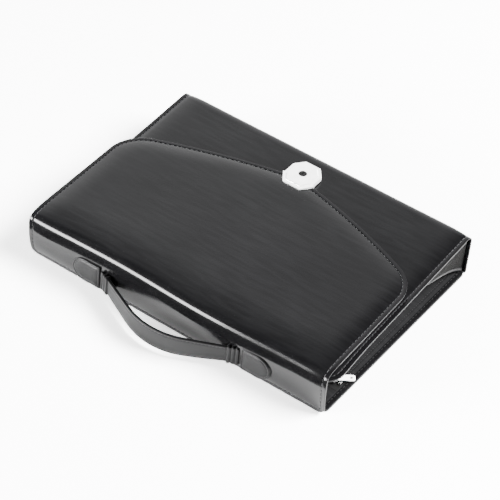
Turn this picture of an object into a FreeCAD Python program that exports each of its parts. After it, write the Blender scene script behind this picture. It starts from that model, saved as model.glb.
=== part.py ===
import FreeCAD, Part
import math
import os

from FreeCAD import Vector

# A document case in padded imitation leather, lying on its back panel.
# One strip runs from the back panel up the handle wall and over the top as the flap.
# A second strip is the spine and the cover, which lies under the flap.
# Millimetres. The origin is the middle of the back panel's outer face, +Z up.
# +X runs along the case, -Y faces the handle and +Y faces the spine.

# ---------------------------------------------------------------- driving sizes
LENGTH = 360.0              # along the folds
DEPTH = 262.0               # handle wall to spine, over the leather
TOP = 55.0                  # outer face of the flap
SPINE_TOP = 53.0            # outer face of the cover where it leaves the spine
COVER_FRONT = 36.0          # outer face of the cover at its free edge
COVER_EDGE = 8.0            # free edge of the cover, from the handle wall's outer face

SKIN = 1.2                  # leather with its turned-in edge
FOAM = 0.8
BOARD = 1.2                 # stiffener of the padded panels
LINING = 0.8
PANEL = SKIN + FOAM + BOARD + LINING
FOLD = 5.0                  # outer radius of a leather fold
FOLD_IN = 1.0               # a fold turns about a line this far inside its corner

HALF = LENGTH / 2
FRONT = -DEPTH / 2          # outer face of the handle wall
REAR = DEPTH / 2            # outer face of the spine
PLAY = 0.3                  # gap between parts that move past each other

FLAP_PADDING = 20.0         # leather alone up to here from the wall, so that the fold stays supple

# Flap outline: straight sides, wide round corners, long bowed edges, a flat tip
FLAP_HALF = 179.8           # half its width at the fold
FLAP_TIP = 213.8
FLAP_TIP_HALF = 20.0
FLAP_CORNER = 157.8         # where the side and the bowed edge would meet
FLAP_CORNER_HALF = 179.5
FLAP_CORNER_RADIUS = 44.0
FLAP_BOW = (86.0, 195.6)    # a point halfway along each bowed edge
FLAP_BOW_ANGLE = math.radians(-24.7)    # direction of the bowed edge where it leaves the round corner
FLAP_SHIFT = -3.0           # the flap's free end hangs this far off centre

# Handle: a flat strap that arches away from the wall, wider and a little lower in the middle
HANDLE_X = -2.0
HANDLE_Z = 20.5             # middle of the strap's width at its ends
STRAP_WIDTH = 19.0          # at its ends
STRAP_DROP = 1.6            # the upper edge is this much lower in the middle of the arch
STRAP_SAG = 5.0             # and the lower edge this much
STRAP_SKIN = 1.1
STRAP_CORE = 1.0
STRAP = 2 * STRAP_SKIN + STRAP_CORE
STRAP_OUT = 36.0            # outer face at the middle of the arch, from the wall
ARCH_RADIUS = 82.0
ARCH_ANGLE = math.radians(25)
FOOT_OUT = 4.2              # outer face of the strap's flat ends
FOOT_RADIUS = 18.0
STRAP_END = 112.0
KEEPER = (72.0, 85.0)
KEEPER_WIDTH = 22.6
RIB = 1.0
RIB_GAP = 1.0
TAB_START = 85.4
TAB_END = 122.0
TAB_WIDTH = 30.0
TAB_OUT = 7.0

# Rivets through the handle and the wall
RIVET_PLACES = (97.0, 106.0)
RIVET = 1.5                 # radius of the shaft
RIVET_HEAD = (3.0, 0.6)     # radius and height
RIVET_TAIL = (2.6, 0.5)
BACKING = 1.0               # thickness of the plate behind the wall

# Clasp on the flap's tip, and the catch under it on the cover
CLASP_X = -3.0
CLASP_Y = FRONT + 221.0     # axis of the lock
CLASP_TOP = 57.4
CLASP_LOW = 53.3            # lower rim of the part that overhangs the flap
BEZEL_TOP = 59.0
BARREL = 3.6
BARREL_HEAD = 4.4
POST_Y = FRONT + 232.0
POST_NECK = 1.3
POST_HEAD = 2.5
HEAD_LOW = 54.7
HEAD_TOP = 55.6

# Zipped pocket inside, on the back panel
ZIP_Y = FRONT + 41.0
ZIP_HALF = 168.0
TAPE = 10.0
TEETH = 4.6
TOOTH_PITCH = 6.0
SLIDER_X = 162.0
PULL_LENGTH = 22.0
PULL_WIDTH = 7.0
PULL_TURN = 38.0            # the puller lies this many degrees off the zip's line

X, Y, Z = Vector(1, 0, 0), Vector(0, 1, 0), Vector(0, 0, 1)


# ---------------------------------------------------------------- tools
class Panel:
    """A panel's frame: x along the case, s across the panel, w into its thickness."""

    def __init__(self, origin, across, inward):
        self.origin = origin
        self.across = across
        self.inward = inward

    def point(self, x, s, w=0.0):
        return self.origin + X * x + self.across * s + self.inward * w

    def face(self, outline, w=0.0):
        edges = []
        for run in outline:
            points = [self.point(x, s, w) for x, s in run]
            curve = Part.LineSegment if len(points) == 2 else Part.Arc
            edges.append(curve(*points).toShape())
        return Part.Face(Part.Wire(edges))

    def slab(self, outline, low, high, inset=0.0):
        face = self.face(outline, low)
        if inset:
            face = face.makeOffset2D(-inset)
        return face.extrude(self.inward * (high - low))


def rounded(left, right, low, high, low_radius=0.0, high_radius=0.0):
    """Outline of a rectangle, with its two low and its two high corners rounded."""
    k = 1 - math.sqrt(0.5)
    a, b = low_radius, high_radius
    runs = [((left + a, low), (right - a, low))]
    if a:
        runs.append(((right - a, low), (right - a * k, low + a * k), (right, low + a)))
    runs.append(((right, low + a), (right, high - b)))
    if b:
        runs.append(((right, high - b), (right - b * k, high - b * k), (right - b, high)))
    runs.append(((right - b, high), (left + b, high)))
    if b:
        runs.append(((left + b, high), (left + b * k, high - b * k), (left, high - b)))
    runs.append(((left, high - b), (left, low + a)))
    if a:
        runs.append(((left, low + a), (left + a * k, low + a * k), (left + a, low)))
    return runs


def polygon(points):
    return [(a, b) for a, b in zip(points, points[1:] + points[:1])]


def box(x0, x1, y0, y1, z0, z1):
    return Part.makeBox(x1 - x0, y1 - y0, z1 - z0, Vector(x0, y0, z0))


def rod(x, y, low, high, radius):
    return Part.makeCylinder(radius, high - low, Vector(x, y, low), Z)


def mirrored(shape, about):
    """The same shape on the other side of the plane x = about."""
    return shape.mirror(Vector(about, 0, 0), X)


def save(node, shape):
    shape.exportStep(f"parts/{node}.step")


def upholster(name, panel, outline, holes, foam=FOAM):
    """Save a panel's leather tray, foam, board and lining, with the same holes in each."""
    depth = PANEL
    tray = panel.slab(outline, 0, depth).cut(panel.slab(outline, SKIN, depth, SKIN))
    layers = {f"{name}_skin": tray}
    if foam:
        layers[f"{name}_foam"] = panel.slab(outline, SKIN, SKIN + foam, SKIN)
    layers[f"{name}_board"] = panel.slab(outline, SKIN + foam, depth - LINING, SKIN)
    layers[f"{name}_lining"] = panel.slab(outline, depth - LINING, depth, SKIN)
    for node, layer in layers.items():
        for hole in holes:
            layer = layer.cut(hole)
        save(node, layer)


def fold_strip(centre_y, centre_z, side):
    """Quarter turn of leather over a long corner: side is -1 at the wall, +1 at the spine."""
    outer = Part.makeCylinder(FOLD, LENGTH, Vector(-HALF, centre_y, centre_z), X)
    inner = Part.makeCylinder(FOLD - SKIN, LENGTH, Vector(-HALF, centre_y, centre_z), X)
    near, far = sorted((centre_y, centre_y + side * FOLD))
    return outer.cut(inner).common(box(-HALF, HALF, near, far, centre_z, centre_z + FOLD))


# ---------------------------------------------------------------- panel frames
BACK = Panel(Vector(0, 0, 0), Y, Z)
WALL = Panel(Vector(0, FRONT, 0), Z, Y)
SPINE = Panel(Vector(0, REAR, 0), Z, -Y)
FLAP = Panel(Vector(0, FRONT, TOP), Y, -Z)

COVER_RUN = DEPTH - FOLD - COVER_EDGE
COVER_DROP = SPINE_TOP - COVER_FRONT
COVER_SLOPE = math.atan2(COVER_DROP, COVER_RUN)
COVER_LENGTH = math.hypot(COVER_RUN, COVER_DROP)
COVER = Panel(Vector(0, REAR - FOLD, SPINE_TOP),
              Vector(0, -math.cos(COVER_SLOPE), -math.sin(COVER_SLOPE)),
              Vector(0, math.sin(COVER_SLOPE), -math.cos(COVER_SLOPE)))


def cover_height(y, below=0.0):
    """Height of the cover at y, this far under its outer face."""
    return SPINE_TOP - (REAR - FOLD - y) * math.tan(COVER_SLOPE) - below / math.cos(COVER_SLOPE)


def flap_outline():
    """Closed outline of the flap, from the fold to its tip."""
    turn = math.pi / 2 + FLAP_BOW_ANGLE
    reach = FLAP_CORNER_RADIUS * math.tan(turn / 2)
    centre = (FLAP_CORNER_HALF - FLAP_CORNER_RADIUS, FLAP_CORNER - reach)
    half_turn = turn / 2
    start = (FLAP_CORNER_HALF, FLAP_CORNER - reach)
    middle = (centre[0] + FLAP_CORNER_RADIUS * math.cos(half_turn),
              centre[1] + FLAP_CORNER_RADIUS * math.sin(half_turn))
    end = (centre[0] + FLAP_CORNER_RADIUS * math.cos(turn),
           centre[1] + FLAP_CORNER_RADIUS * math.sin(turn))
    right = [((FLAP_HALF, FOLD), start), (start, middle, end),
             (end, FLAP_BOW, (FLAP_TIP_HALF, FLAP_TIP))]
    left = [tuple((-x, s) for x, s in reversed(run)) for run in reversed(right)]
    tip = [((FLAP_TIP_HALF, FLAP_TIP), (-FLAP_TIP_HALF, FLAP_TIP))]
    hem = [((-FLAP_HALF, FOLD), (FLAP_HALF, FOLD))]

    def hang(point):
        x, s = point
        return x + FLAP_SHIFT * min(1.0, (s - FOLD) / (start[1] - FOLD)), s

    return [tuple(hang(point) for point in run) for run in right + tip + left + hem]


# ---------------------------------------------------------------- handle
def strap_band(out_face, in_face, width):
    """The strap between two depths under its outer face, centred on HANDLE_X, width tall."""
    sin_a, cos_a = math.sin(ARCH_ANGLE), math.cos(ARCH_ANGLE)
    arch_y = ARCH_RADIUS - STRAP_OUT

    def side(depth):
        """Right half of the line this deep under the outer face, as (x, out) runs."""
        radius = ARCH_RADIUS - depth
        top = (0.0, radius - arch_y)
        arch_end = (radius * sin_a, radius * cos_a - arch_y)
        arch_mid = (radius * math.sin(ARCH_ANGLE / 2), radius * math.cos(ARCH_ANGLE / 2) - arch_y)
        corner = ARCH_RADIUS * sin_a + (ARCH_RADIUS * cos_a - arch_y - FOOT_OUT) * cos_a / sin_a
        foot_x = corner + FOOT_RADIUS * math.tan(ARCH_ANGLE / 2)
        foot_centre = FOOT_OUT + FOOT_RADIUS
        bend = FOOT_RADIUS + depth
        foot_start = (foot_x - bend * sin_a, foot_centre - bend * cos_a)
        foot_mid = (foot_x - bend * math.sin(ARCH_ANGLE / 2),
                    foot_centre - bend * math.cos(ARCH_ANGLE / 2))
        foot_end = (foot_x, foot_centre - bend)
        return [(top, arch_mid, arch_end), (arch_end, foot_start),
                (foot_start, foot_mid, foot_end), (foot_end, (STRAP_END, foot_end[1]))]

    def reflected(runs):
        return [tuple((-x, out) for x, out in reversed(run)) for run in reversed(runs)]

    outer, inner = side(out_face), side(in_face)
    near, far = outer[-1][-1], inner[-1][-1]
    around = reflected(outer) + outer + [(near, far)]
    around += [tuple(reversed(run)) for run in reversed(inner)]
    around += [tuple(reversed(run)) for run in reversed(reflected(inner))]
    around += [((-far[0], far[1]), (-near[0], near[1]))]
    plan = Panel(Vector(HANDLE_X, FRONT, HANDLE_Z - width / 2), -Y, Z)
    return plan.slab(around, 0, width)


def strap_layer(out_face, in_face):
    """One layer of the strap between two depths, wider and lower in the middle than at its ends."""
    low, high = HANDLE_Z - STRAP_WIDTH / 2, HANDLE_Z + STRAP_WIDTH / 2
    end, bow = STRAP_END, KEEPER[0]
    outline = [((-end, low), (-bow, low)), ((-bow, low), (0, low - STRAP_SAG), (bow, low)),
               ((bow, low), (end, low)), ((end, low), (end, high)), ((end, high), (bow, high)),
               ((bow, high), (0, high - STRAP_DROP), (-bow, high)), ((-bow, high), (-end, high)),
               ((-end, high), (-end, low))]
    elevation = Panel(Vector(HANDLE_X, FRONT, 0), Z, -Y)
    tall = STRAP_WIDTH + 2 * STRAP_SAG
    return strap_band(out_face, in_face, tall).common(elevation.slab(outline, 0, STRAP_OUT + 1))


def handle():
    """Save the strap, its keepers, its sewn tabs and what holds them; return the rivet holes."""
    strap = strap_layer(0, STRAP)

    low, high = HANDLE_Z - KEEPER_WIDTH / 2, HANDLE_Z + KEEPER_WIDTH / 2
    x0, x1 = (HANDLE_X + place for place in KEEPER)
    far_out = FRONT - STRAP_OUT
    loop = strap_band(-RIB, STRAP, KEEPER_WIDTH - 2 * RIB).common(box(x0, x1, far_out, FRONT, low, high))
    ribbed = strap_band(-2 * RIB, STRAP, KEEPER_WIDTH)
    step = (x1 - x0) / 3
    for rib in range(3):
        start = x0 + rib * step + RIB_GAP / 2
        loop = loop.fuse(ribbed.common(box(start, start + step - RIB_GAP, far_out, FRONT, low, high)))
    keeper = loop.cut(strap).removeSplitter()
    save("keeper_right", keeper)
    save("keeper_left", mirrored(keeper, HANDLE_X))

    tab_low, tab_high = HANDLE_Z - TAB_WIDTH / 2, HANDLE_Z + TAB_WIDTH / 2
    start, end = HANDLE_X + TAB_START, HANDLE_X + TAB_END
    shoulder = end - 0.62 * TAB_WIDTH
    tip_bulge = end - 0.17 * TAB_WIDTH
    rise = 0.36 * TAB_WIDTH
    tongue = [((start, tab_low), (shoulder, tab_low)),
              ((shoulder, tab_low), (tip_bulge, HANDLE_Z - rise), (end, HANDLE_Z)),
              ((end, HANDLE_Z), (tip_bulge, HANDLE_Z + rise), (shoulder, tab_high)),
              ((shoulder, tab_high), (start, tab_high)),
              ((start, tab_high), (start, tab_low))]
    outside = Panel(Vector(0, FRONT - TAB_OUT, 0), Z, Y)
    cavity = outside.slab(tongue, SKIN, TAB_OUT, SKIN)
    tab = outside.slab(tongue, 0, TAB_OUT).cut(cavity).cut(strap)

    backing_face = FRONT + PANEL
    holes = []
    shafts = []
    for place in RIVET_PLACES:
        for side in (1, -1):
            x = HANDLE_X + side * place
            start_y = FRONT - FOOT_OUT
            shaft = Part.makeCylinder(RIVET, FOOT_OUT + PANEL + BACKING, Vector(x, start_y, HANDLE_Z), Y)
            head = Part.makeCylinder(*RIVET_HEAD, Vector(x, start_y - RIVET_HEAD[1], HANDLE_Z), Y)
            tail = Part.makeCylinder(*RIVET_TAIL, Vector(x, backing_face + BACKING, HANDLE_Z), Y)
            shafts.append(shaft.fuse([head, tail]).removeSplitter())
            holes.append(shaft)
    rivets = Part.makeCompound(shafts)
    pad = cavity.cut(strap).cut(rivets)
    plate = box(start + 4, end - 8, backing_face, backing_face + BACKING, HANDLE_Z - 8, HANDLE_Z + 8)
    plate = plate.cut(rivets)
    for node, piece in {"tab": tab, "tab_pad": pad, "handle_backing": plate}.items():
        save(f"{node}_right", piece)
        save(f"{node}_left", mirrored(piece, HANDLE_X))
    for node, depths in {"handle_strap_outer": (0, STRAP_SKIN),
                         "handle_core": (STRAP_SKIN, STRAP_SKIN + STRAP_CORE),
                         "handle_strap_inner": (STRAP_SKIN + STRAP_CORE, STRAP)}.items():
        save(node, strap_layer(*depths).cut(rivets))
    save("handle_rivets", rivets)
    return holes


# ---------------------------------------------------------------- clasp and catch
def clasp():
    """Save the clasp on the flap and its lock; return the rivet holes in the flap."""
    tip = FRONT + FLAP_TIP
    near, far = FRONT + 200.0, FRONT + 240.8
    chamfer = FRONT + 230.0
    top = Panel(Vector(CLASP_X, 0, CLASP_TOP), Y, -Z)
    on_flap = polygon([(-10.5, near), (10.5, near), (19.5, tip), (-19.5, tip)])
    over_cover = polygon([(-17.5, tip), (17.5, tip), (17.5, chamfer), (9.0, far), (-9.0, far),
                          (-17.5, chamfer)])
    cavity = polygon([(-15.7, tip + 2), (15.7, tip + 2), (15.7, chamfer - 0.6), (8.2, far - 1.8),
                      (-8.2, far - 1.8), (-15.7, chamfer - 0.6)])
    roof = 1.2
    barrel_hole = rod(CLASP_X, CLASP_Y, CLASP_LOW - 1, BEZEL_TOP + 1, BARREL + 0.12)
    boss = rod(CLASP_X, CLASP_Y, CLASP_TOP - roof - 1.6, CLASP_TOP - roof, BARREL + 1.6)
    plate = top.slab(on_flap, 0, CLASP_TOP - TOP)
    plate = plate.fuse(top.slab(over_cover, 0, CLASP_TOP - CLASP_LOW))
    plate = plate.cut(top.slab(cavity, roof, CLASP_TOP - CLASP_LOW)).fuse(boss).cut(barrel_hole)

    rim = polygon([(-9.0, near + 3), (9.0, near + 3), (14.8, tip), (14.8, chamfer - 1.2), (7.4, far - 3),
                   (-7.4, far - 3), (-14.8, chamfer - 1.2), (-14.8, tip)])
    bezel = top.slab(rim, -(BEZEL_TOP - CLASP_TOP), 0)
    top_edges = [edge for edge in bezel.Edges if all(abs(v.Z - BEZEL_TOP) < 1e-6 for v in edge.Vertexes)]
    bezel = bezel.makeChamfer(1.1, top_edges)
    bezel = bezel.cut(rod(CLASP_X, CLASP_Y, CLASP_TOP - 1, BEZEL_TOP + 1, BARREL_HEAD + 0.15))

    backing_low = TOP - PANEL - 0.6
    shafts = []
    for x in (CLASP_X - 9.0, CLASP_X + 9.0):
        shafts.append(rod(x, FRONT + 207.5, backing_low, TOP, 1.2))
    rivets = Part.makeCompound(shafts)
    backing = box(CLASP_X - 13, CLASP_X + 13, FRONT + 203, FRONT + 212, backing_low, TOP - PANEL)

    spring_z = HEAD_LOW - 0.65
    wire = 0.4
    gap = POST_NECK + wire + 0.2
    prong_end = CLASP_X + 8.0
    bend_x = CLASP_X - 8.0
    ends = [Vector(prong_end, POST_Y + side * gap, spring_z) for side in (-1, 1)]
    bends = [Vector(bend_x, POST_Y + side * gap, spring_z) for side in (-1, 1)]
    path = Part.Wire([Part.LineSegment(ends[0], bends[0]).toShape(),
                      Part.Arc(bends[0], Vector(bend_x - gap, POST_Y, spring_z), bends[1]).toShape(),
                      Part.LineSegment(bends[1], ends[1]).toShape()])
    section = Part.Wire([Part.Circle(ends[0], X, wire).toShape()])
    spring = path.makePipeShell([section], True, False)

    keyway = box(CLASP_X - 0.5, CLASP_X + 0.5, CLASP_Y - 2.2, CLASP_Y + 2.2, BEZEL_TOP - 2.0, BEZEL_TOP + 1)
    barrel = rod(CLASP_X, CLASP_Y, HEAD_LOW - 1.0, CLASP_TOP + 0.05, BARREL)
    head = rod(CLASP_X, CLASP_Y, CLASP_TOP + 0.05, BEZEL_TOP + 0.4, BARREL_HEAD)
    rounded_head = head.makeFillet(0.4, [head.Edges[0]])
    cylinder = barrel.fuse(rounded_head).cut(keyway).removeSplitter()
    cam_top = HEAD_LOW - 1.0
    reach = POST_Y - CLASP_Y - POST_NECK - PLAY
    cam = box(CLASP_X, CLASP_X + reach, CLASP_Y - 1.6, CLASP_Y + 1.6, cam_top - 0.7, cam_top)
    cam = cam.fuse(rod(CLASP_X, CLASP_Y, cam_top - 0.7, cam_top, 2.6)).removeSplitter()

    for node, piece in {"clasp_plate": plate.removeSplitter(), "clasp_bezel": bezel,
                        "clasp_rivets": rivets, "clasp_backing": backing.cut(rivets),
                        "snap_spring": spring, "lock_cylinder": cylinder, "lock_cam": cam}.items():
        save(node, piece)
    return shafts


def catch():
    """Save the catch on the cover under the clasp; return the holes through the cover."""
    plate_from = REAR - FOLD - (POST_Y + 7)
    plate_to = REAR - FOLD - (POST_Y - 13)
    outline = rounded(CLASP_X - 11, CLASP_X + 11, plate_from, plate_to, 3, 3)
    plate = COVER.slab(outline, -0.7, 0)
    backing = COVER.slab(outline, PANEL, PANEL + 0.8)
    low = cover_height(POST_Y, PANEL + 0.8) + 0.1
    shank = rod(CLASP_X, POST_Y, low, HEAD_LOW, POST_NECK)
    head = rod(CLASP_X, POST_Y, HEAD_LOW, HEAD_TOP, POST_HEAD)
    dome = [edge for edge in head.Edges if edge.BoundBox.ZMin > HEAD_TOP - 1e-6]
    post = shank.fuse(head.makeFillet(0.4, dome)).removeSplitter()
    pins = []
    for x in (CLASP_X - 7.5, CLASP_X + 7.5):
        start = COVER.point(x, plate_to - 5, -0.7)
        pins.append(Part.makeCylinder(1.0, PANEL + 1.5, start, COVER.inward))
    rivets = Part.makeCompound(pins)
    for node, piece in {"catch_plate": plate.cut(shank).cut(rivets), "catch_post": post,
                        "catch_backing": backing.cut(shank).cut(rivets), "catch_rivets": rivets}.items():
        save(node, piece)
    return [shank] + pins


# ---------------------------------------------------------------- zipped pocket
def pocket():
    """Save the flat pocket on the back panel's lining, its zip, slider and puller."""
    floor = PANEL
    sheet_start = ZIP_Y + TEETH / 2 + TAPE - 2
    sheet = BACK.slab(rounded(-HALF + 8, HALF - 8, sheet_start, REAR - 16, 0, 8), floor, floor + 0.8)
    save("pocket_sheet", sheet)
    inner, outer = TEETH / 2, TEETH / 2 + TAPE - 2
    save("zip_tape_rear", box(-ZIP_HALF - 6, ZIP_HALF + 6, ZIP_Y + inner, ZIP_Y + outer, floor, floor + 0.8))
    save("zip_tape_front", box(-ZIP_HALF - 6, ZIP_HALF + 6, ZIP_Y - outer, ZIP_Y - inner, floor, floor + 0.8))
    count = int(2 * (ZIP_HALF - 4) / TOOTH_PITCH)
    first = -count * TOOTH_PITCH / 2
    for name, side, shift in (("front", -1, 0.0), ("rear", 1, TOOTH_PITCH / 2)):
        teeth = []
        for index in range(count):
            x = first + index * TOOTH_PITCH + shift
            low, high = sorted((ZIP_Y + side * TEETH / 2, ZIP_Y - side * 0.8))
            teeth.append(box(x, x + TOOTH_PITCH / 2 - 0.3, low, high, floor, floor + 1.6))
        save(f"zip_teeth_{name}", Part.makeCompound(teeth))
    stops = [box(x, x + 2.5, ZIP_Y - TEETH / 2, ZIP_Y + TEETH / 2, floor, floor + 2.4)
             for x in (-ZIP_HALF, ZIP_HALF + 1.5)]
    save("zip_stops", Part.makeCompound(stops))

    deck = floor + 1.6 + PLAY
    long_half = 5.5
    top = BACK.slab(rounded(SLIDER_X - long_half, SLIDER_X + long_half, ZIP_Y - 4.5, ZIP_Y + 4.5, 2, 2),
                    deck, deck + 1.0)
    wings = [box(SLIDER_X - long_half + 2, SLIDER_X + long_half - 2, ZIP_Y + low, ZIP_Y + low + 1.0,
                 floor + 0.8 + PLAY, deck + 0.5) for low in (-4.0, 3.0)]
    turn = FreeCAD.Placement(Vector(SLIDER_X, ZIP_Y, 0), FreeCAD.Rotation(Z, PULL_TURN))
    bridge_top = deck + 4.2
    bridge = box(-2.6, 2.6, -0.6, 0.6, deck + 1.0, bridge_top)
    bridge = bridge.cut(box(-1.7, 1.7, -1, 1, deck + 0.9, bridge_top - 0.9))
    bridge.Placement = turn
    save("zip_slider", top.fuse(wings + [bridge]).removeSplitter())

    puller_low = deck + 1.4
    puller_high = puller_low + 1.2
    flat = Panel(Vector(0, 0, puller_low), Y, Z)
    blade = flat.slab(rounded(3.4, PULL_LENGTH, -PULL_WIDTH / 2, PULL_WIDTH / 2, 2.6, 2.6), 0, 1.2)
    eye = box(-0.6, 5.0, -2.4, 2.4, puller_low, puller_high)
    eye = eye.cut(box(0.6, 3.6, -1.2, 1.2, puller_low - 1, puller_high + 1))
    end_hole = rod(PULL_LENGTH - 4.0, 0, puller_low - 1, puller_high + 1, 1.6)
    puller = blade.fuse(eye).cut(end_hole).removeSplitter()
    puller.Placement = turn
    save("zip_puller", puller)


# ---------------------------------------------------------------- ends and folds
def gussets():
    """Save the cloth triangle that closes each short end beside the spine."""
    inside = REAR - PANEL - PLAY
    reach = FRONT + 170.0
    for name, x in (("right", HALF - 4.0), ("left", -HALF + 3.4)):
        corners = [Vector(x, inside, PANEL + 0.4), Vector(x, inside, cover_height(inside, PANEL) - PLAY),
                   Vector(x, reach, cover_height(reach, PANEL) - PLAY)]
        face = Part.Face(Part.makePolygon(corners + corners[:1]))
        save(f"gusset_{name}", face.extrude(X * 0.6))


def main():
    os.makedirs("parts", exist_ok=True)
    wall_top = TOP - FOLD
    spine_top = SPINE_TOP - FOLD

    back_outline = rounded(-HALF, HALF, FRONT + PANEL + PLAY, REAR - PANEL, 0, 0)
    upholster("back", BACK, back_outline, [], foam=0.0)
    upholster("spine", SPINE, rounded(-HALF, HALF, 0, spine_top), [], foam=0.0)
    upholster("wall", WALL, rounded(-HALF, HALF, 0, wall_top, 8, 0), handle())
    bare_fold = box(-HALF, HALF, FRONT + FOLD, FRONT + FLAP_PADDING, TOP - PANEL, TOP - SKIN)
    upholster("flap", FLAP, flap_outline(), clasp() + [bare_fold])
    cover_outline = rounded(-HALF, HALF, PLAY, COVER_LENGTH, 0, 22)
    upholster("cover", COVER, cover_outline, catch())

    save("flap_fold_strip", fold_strip(FRONT + FOLD, wall_top, -1))
    save("cover_fold_strip", fold_strip(REAR - FOLD, spine_top, 1))
    inner = FRONT + PANEL + PLAY
    leg = 7.0
    strip = box(-HALF + 6, HALF - 6, inner, inner + leg, PANEL, PANEL + LINING)
    strip = strip.fuse(box(-HALF + 6, HALF - 6, inner, inner + LINING, PANEL, PANEL + leg)).removeSplitter()
    save("wall_fold_strip", strip)
    pocket()
    gussets()


main()
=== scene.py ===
import math

import bmesh
import bpy
import numpy as np
from mathutils import Matrix, Vector
from mathutils.geometry import delaunay_2d_cdt


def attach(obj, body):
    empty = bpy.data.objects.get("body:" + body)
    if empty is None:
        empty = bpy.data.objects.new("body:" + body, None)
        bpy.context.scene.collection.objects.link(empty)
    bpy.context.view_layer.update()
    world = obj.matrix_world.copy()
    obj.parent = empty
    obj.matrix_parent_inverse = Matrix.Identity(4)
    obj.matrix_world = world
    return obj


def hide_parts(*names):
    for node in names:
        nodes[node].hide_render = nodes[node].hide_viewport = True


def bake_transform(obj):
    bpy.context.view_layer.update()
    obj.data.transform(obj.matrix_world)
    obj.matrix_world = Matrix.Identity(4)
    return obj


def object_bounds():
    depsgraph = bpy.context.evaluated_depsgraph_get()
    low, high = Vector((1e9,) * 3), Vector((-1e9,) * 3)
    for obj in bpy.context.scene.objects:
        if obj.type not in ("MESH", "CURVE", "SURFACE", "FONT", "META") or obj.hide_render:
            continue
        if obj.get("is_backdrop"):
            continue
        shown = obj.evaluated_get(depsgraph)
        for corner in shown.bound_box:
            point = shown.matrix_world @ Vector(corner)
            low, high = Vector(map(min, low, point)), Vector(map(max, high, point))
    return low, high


# A document case in padded imitation leather, lying on its back panel.
# Shapes are worked out in millimetres and made in metres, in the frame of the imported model.

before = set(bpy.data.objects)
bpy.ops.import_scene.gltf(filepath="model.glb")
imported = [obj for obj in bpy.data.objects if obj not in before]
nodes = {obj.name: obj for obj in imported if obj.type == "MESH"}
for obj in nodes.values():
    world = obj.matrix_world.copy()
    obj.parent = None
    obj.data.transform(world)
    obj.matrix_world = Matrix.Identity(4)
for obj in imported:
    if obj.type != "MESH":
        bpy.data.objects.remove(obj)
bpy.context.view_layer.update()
MM = 0.001

# ---------------------------------------------------------------- camera
CAM_AZIMUTH = math.radians(31.685)
CAM_ELEVATION = math.radians(41.955)
CAM_ROLL = math.radians(5.818)
CAM_DISTANCE = 2.2451
CAM_SIDE = -0.0002
CAM_UP = 0.0123
CAM_LENS = 158.06


def make_camera():
    back = Vector((math.sin(CAM_AZIMUTH) * math.cos(CAM_ELEVATION),
                   -math.cos(CAM_AZIMUTH) * math.cos(CAM_ELEVATION),
                   math.sin(CAM_ELEVATION)))
    level = Vector((math.cos(CAM_AZIMUTH), math.sin(CAM_AZIMUTH), 0))
    rise = back.cross(level)
    right = level * math.cos(CAM_ROLL) + rise * math.sin(CAM_ROLL)
    up = rise * math.cos(CAM_ROLL) - level * math.sin(CAM_ROLL)
    data = bpy.data.cameras.new("camera")
    data.sensor_width = 36
    data.lens = CAM_LENS
    camera = bpy.data.objects.new("camera", data)
    turn = Matrix((right, up, back)).transposed()
    place = back * CAM_DISTANCE + right * CAM_SIDE + up * CAM_UP
    camera.matrix_world = Matrix.Translation(place) @ turn.to_4x4()
    bpy.context.scene.collection.objects.link(camera)
    bpy.context.scene.camera = camera


make_camera()


# ---------------------------------------------------------------- node helpers
RANGE_SOCKETS = ("From Min", "From Max", "To Min", "To Max")


class Shader:
    """A material's nodes, built up call by call."""

    def __init__(self, name, uv=False):
        self.material = bpy.data.materials.new(name)
        self.material.use_nodes = True
        self.tree = self.material.node_tree
        self.bsdf = next(n for n in self.tree.nodes if n.type == "BSDF_PRINCIPLED")
        self.source = self.add("ShaderNodeTexCoord").outputs["UV" if uv else "Object"]

    def add(self, kind, **settings):
        node = self.tree.nodes.new(kind)
        for key, value in settings.items():
            setattr(node, key, value)
        return node

    def put(self, node, socket, value):
        if isinstance(value, bpy.types.NodeSocket):
            self.tree.links.new(value, node.inputs[socket])
        else:
            node.inputs[socket].default_value = value

    def set(self, **values):
        for key, value in values.items():
            self.put(self.bsdf, key.replace("_", " "), value)

    def place(self, scale, turn=0.0):
        mapping = self.add("ShaderNodeMapping")
        self.put(mapping, "Vector", self.source)
        self.put(mapping, "Scale", scale)
        self.put(mapping, "Rotation", (0, 0, turn))
        return mapping.outputs["Vector"]

    def noise(self, vector, scale, detail=3.0, rough=0.5, distortion=0.0):
        node = self.add("ShaderNodeTexNoise")
        self.put(node, "Vector", vector)
        self.put(node, "Scale", scale)
        self.put(node, "Detail", detail)
        self.put(node, "Roughness", rough)
        self.put(node, "Distortion", distortion)
        return node.outputs["Fac"]

    def wave(self, vector, scale, direction="X"):
        node = self.add("ShaderNodeTexWave", bands_direction=direction)
        self.put(node, "Vector", vector)
        self.put(node, "Scale", scale)
        return node.outputs["Fac"]

    def cells(self, vector, scale):
        node = self.add("ShaderNodeTexVoronoi", feature="DISTANCE_TO_EDGE")
        self.put(node, "Vector", vector)
        self.put(node, "Scale", scale)
        return node.outputs["Distance"]

    def span(self, value, low, high, to_low, to_high):
        node = self.add("ShaderNodeMapRange", interpolation_type="SMOOTHSTEP")
        for socket, number in zip(RANGE_SOCKETS, (low, high, to_low, to_high)):
            self.put(node, socket, number)
        self.put(node, "Value", value)
        return node.outputs["Result"]

    def maths(self, operation, a, b):
        node = self.add("ShaderNodeMath", operation=operation)
        self.put(node, 0, a)
        self.put(node, 1, b)
        return node.outputs[0]

    def tint(self, value, dark, light):
        node = self.add("ShaderNodeMix", data_type="RGBA")
        self.put(node, 0, value)
        self.put(node, 6, (*dark, 1))
        self.put(node, 7, (*light, 1))
        return node.outputs[2]

    def bump(self, height, strength, distance, under=None):
        node = self.add("ShaderNodeBump")
        self.put(node, "Strength", strength)
        self.put(node, "Distance", distance)
        self.put(node, "Height", height)
        if under is not None:
            self.put(node, "Normal", under)
        return node.outputs["Normal"]


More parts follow.
